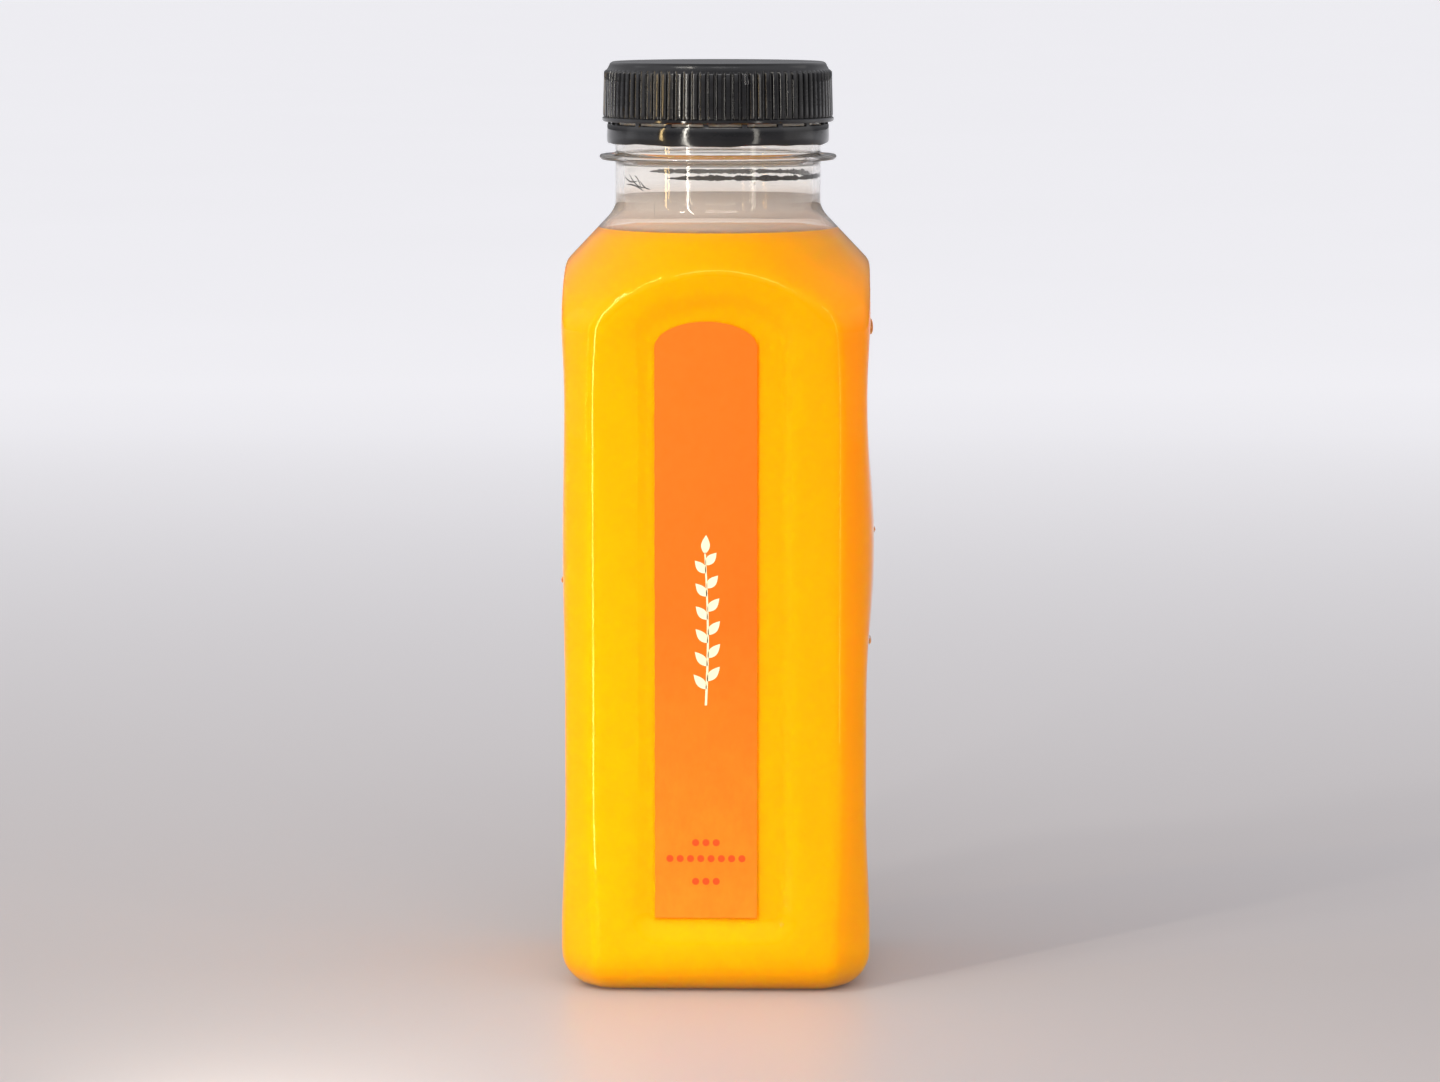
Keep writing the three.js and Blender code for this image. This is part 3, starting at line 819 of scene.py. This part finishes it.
def juice_material():
    """Cloudy juice: painted light from below lightens it low down; painted shade darkens it to the
    right and below its glossy surface.
    """
    made = Material("juice")
    up = made.axis("Z")
    # Painted light from below: lighter low down
    body = made.mix(made.remap(up, *JUICE_LOW_LIGHT_HEIGHTS, 0, 1), JUICE_PAINTED_LIGHT_LOW, JUICE_HIGH)
    # Painted shade toward the right
    shaded = made.mix(made.remap(made.axis("X"), *JUICE_SIDE_SHADE_REACH, 0, 0.2), body, JUICE_PAINTED_SHADE)
    # Painted shade near the top, below the surface
    base = made.mix(made.remap(up, *JUICE_TOP_SHADE_HEIGHTS, 0, 1), shaded, JUICE_TOP_PAINTED_SHADE)
    pulp = made.remap(made.noise(260, 4, 0.6), 0.3, 0.75, 0, 0.2)
    made.feed(
        Base_Color=made.mix(pulp, base, JUICE_PULP),
        Specular_IOR_Level=made.remap(up, *JUICE_GLOSS_STARTS, 0.02, 0.5),
        Roughness=made.remap(made.noise(500, 2), *NOISE_RANGE, 0.08, 0.2),
    )
    made.set(Subsurface_Weight=0.6, Subsurface_Radius=(1.0, 0.45, 0.05), Subsurface_Scale=0.006)
    made.set(IOR=1.34)
    made.bump(made.noise(300, 3), 0.00002)
    return made.material


def residue_material():
    made = Material("dried_juice")
    made.feed(
        Base_Color=made.mix(made.noise(700, 3), RESIDUE_DARK, RESIDUE_LIGHT),
        Roughness=made.remap(made.noise(900, 2), *NOISE_RANGE, 0.45, 0.7),
    )
    made.set(Specular_IOR_Level=0.12)
    made.bump(made.noise(1200, 3), 0.00003)
    return made.material


def black_plastic():
    made = Material("black_plastic")
    smear = made.noise(110, 5, 0.65)
    made.feed(
        Base_Color=made.mix(made.remap(smear, 0.35, 0.7, 0, 1), BLACK_DARK, BLACK_LIGHT),
        Roughness=made.remap(smear, 0.35, 0.7, 0.05, 0.22),
    )
    made.set(IOR=1.52)
    made.bump(made.noise(1500, 3), 0.000008)
    return made.material


def paper_material(name, low, high, speck):
    """Matt paper or print, with a colour for its foot, its top and its fibres and specks."""
    made = Material(name)
    base = made.mix(made.remap(made.axis("Z"), *LABEL_DEEPENS, 0, 1), low, high)
    fibre = made.remap(made.noise(900, 4, 0.7, (1, 1, 0.5)), 0.3, 0.75, 0, 0.3)
    blotch = made.remap(made.noise(150, 3, 0.6), 0.35, 0.7, 0, 0.25)
    made.feed(
        Base_Color=made.mix(blotch, made.mix(fibre, base, speck), speck),
        Roughness=made.remap(made.noise(600, 2), *NOISE_RANGE, 0.5, 0.7),
    )
    made.set(Specular_IOR_Level=0.2)
    made.bump(made.noise(1400, 4, 0.7), 0.00002)
    return made.material


def dress(piece, node, material):
    piece.data.materials.clear()
    piece.data.materials.append(material)
    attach(piece, "root")
    if node:
        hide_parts(node)


def add_camera():
    data = bpy.data.cameras.new("camera")
    data.lens, data.sensor_width = CAMERA_LENS, SENSOR_WIDTH
    camera = bpy.data.objects.new("camera", data)
    bpy.context.scene.collection.objects.link(camera)
    right = Vector((math.cos(CAMERA_AZIMUTH), math.sin(CAMERA_AZIMUTH), 0))
    stand = Vector((
        CAMERA_DISTANCE * math.sin(CAMERA_AZIMUTH), -CAMERA_DISTANCE * math.cos(CAMERA_AZIMUTH),
        CAMERA_HEIGHT,
    ))
    camera.location = stand * MM + right * AXIS_LEFT_OF_CENTRE * MM
    camera.rotation_euler = (QUARTER_TURN - CAMERA_PITCH, 0, CAMERA_AZIMUTH)
    data.clip_start, data.clip_end = 0.01, 100
    bpy.context.scene.camera = camera


def add_light(name, azimuth, distance, height, size, power, colour, raised):
    """A soft light, which is upright or, if raised, aimed down at the bottle."""
    data = bpy.data.lights.new(name, "AREA")
    data.shape = "RECTANGLE"
    data.size, data.size_y = size
    data.energy, data.color = power, colour
    light = bpy.data.objects.new(name, data)
    bpy.context.scene.collection.objects.link(light)
    turn = math.radians(azimuth)
    light.location = Vector((distance * math.sin(turn), -distance * math.cos(turn), height))
    aim = Vector((0, 0, RAISED_AIM if raised else height))
    light.rotation_euler = (light.location - aim).to_track_quat("Z", "Y").to_euler()


def add_floor():
    """A plain pale floor that grows lighter behind the bottle by painted light, where it also has a
    painted glow though it is no lamp.
    """
    size = FLOOR_HALF_SIZE
    corners = [(-size, -size, 0), (size, -size, 0), (size, size, 0), (-size, size, 0)]
    mesh = bpy.data.meshes.new("floor")
    mesh.from_pydata(corners, [], [(0, 1, 2, 3)])
    floor = bpy.data.objects.new("floor", mesh)
    bpy.context.scene.collection.objects.link(floor)
    made = Material("floor")
    back = made.axis("Y")
    # Painted light: lighter behind the bottle
    painted_far_light = made.mix(made.remap(back, *FLOOR_PAINTED_LIGHT_REACH, 0, 1), FLOOR_NEAR, FLOOR_FAR)
    tone = made.remap(made.noise(3, 3), *NOISE_RANGE, 0, 0.06)
    made.feed(
        Base_Color=made.mix(tone, painted_far_light, FLOOR_TONE),
        # Painted glow behind the bottle
        Emission_Strength=made.remap(back, *FLOOR_PAINTED_GLOW_REACH, 0, FLOOR_PAINTED_GLOW),
    )
    made.set(Roughness=0.45, Emission_Color=(1.0, 1.0, 1.0, 1.0))
    mesh.materials.append(made.material)


def add_world():
    """A soft sky, brightest halfway up and in front of the bottle."""
    world = bpy.data.worlds.new("studio")
    bpy.context.scene.world = world
    world.use_nodes = True
    nodes, links = world.node_tree.nodes, world.node_tree.links
    background = nodes["Background"]
    direction = nodes.new("ShaderNodeTexCoord")
    split = nodes.new("ShaderNodeSeparateXYZ")
    sky = nodes.new("ShaderNodeValToRGB")
    stops = sky.color_ramp.elements
    while len(stops) < len(SKY):
        stops.new(0.5)
    for stop, (height, brightness) in zip(stops, SKY):
        stop.position = height
        stop.color = (*(part * brightness for part in SKY_COLOUR), 1)
    strength = nodes.new("ShaderNodeMapRange")
    for name, number in zip(RANGE_ENDS, (*SKY_FADES, SKY_STRENGTH, SKY_STRENGTH_BEHIND)):
        strength.inputs[name].default_value = number
    links.new(direction.outputs["Generated"], split.inputs["Vector"])
    links.new(split.outputs["Y"], strength.inputs["Value"])
    links.new(strength.outputs["Result"], background.inputs["Strength"])
    links.new(split.outputs["Z"], sky.inputs["Fac"])
    links.new(sky.outputs["Color"], background.inputs["Color"])


add_camera()
add_world()
add_floor()
for light in LIGHTS:
    add_light(*light)

dress(make_bottle(), "bottle", clear_plastic())
dress(make_juice(), "juice", juice_material())
cap = join_solids("screw_cap", [make_crown(), make_band(), make_bridges()])
dress(cap, "cap", black_plastic())
label_paper = paper_material("label_paper", LABEL_LOW, LABEL_HIGH, LABEL_FIBRE)
dress(make_label(), "label", label_paper)
dress(make_sprig(), None, paper_material("cream_print", CREAM, CREAM, CREAM_SHADE))
dress(make_dots(), None, paper_material("red_print", RED, RED, RED_SHADE))

residue = residue_material()
dress(make_residue(), None, residue)
dress(make_smears(), None, residue)
drop = drop_material()
inside_neck = round_the_axis(NECK_BORE)
cap_side = round_the_axis(GROOVE_RADIUS + RIB_DEPTH - RIB_TAPER / 2)
for piece in (
    drops_on("wall_drops", on_wall, SIDE_HALF_WIDTH, WALL_DROPS, DROP_THICKNESS),
    drops_on("neck_drops", inside_neck, NECK_BORE, NECK_SPECKS, SPECK_THICKNESS),
    drops_on("cap_drops", cap_side, GROOVE_RADIUS, CAP_DROPS, DROP_THICKNESS),
):
    dress(piece, None, drop)

bpy.context.scene.view_settings.view_transform = "Standard"
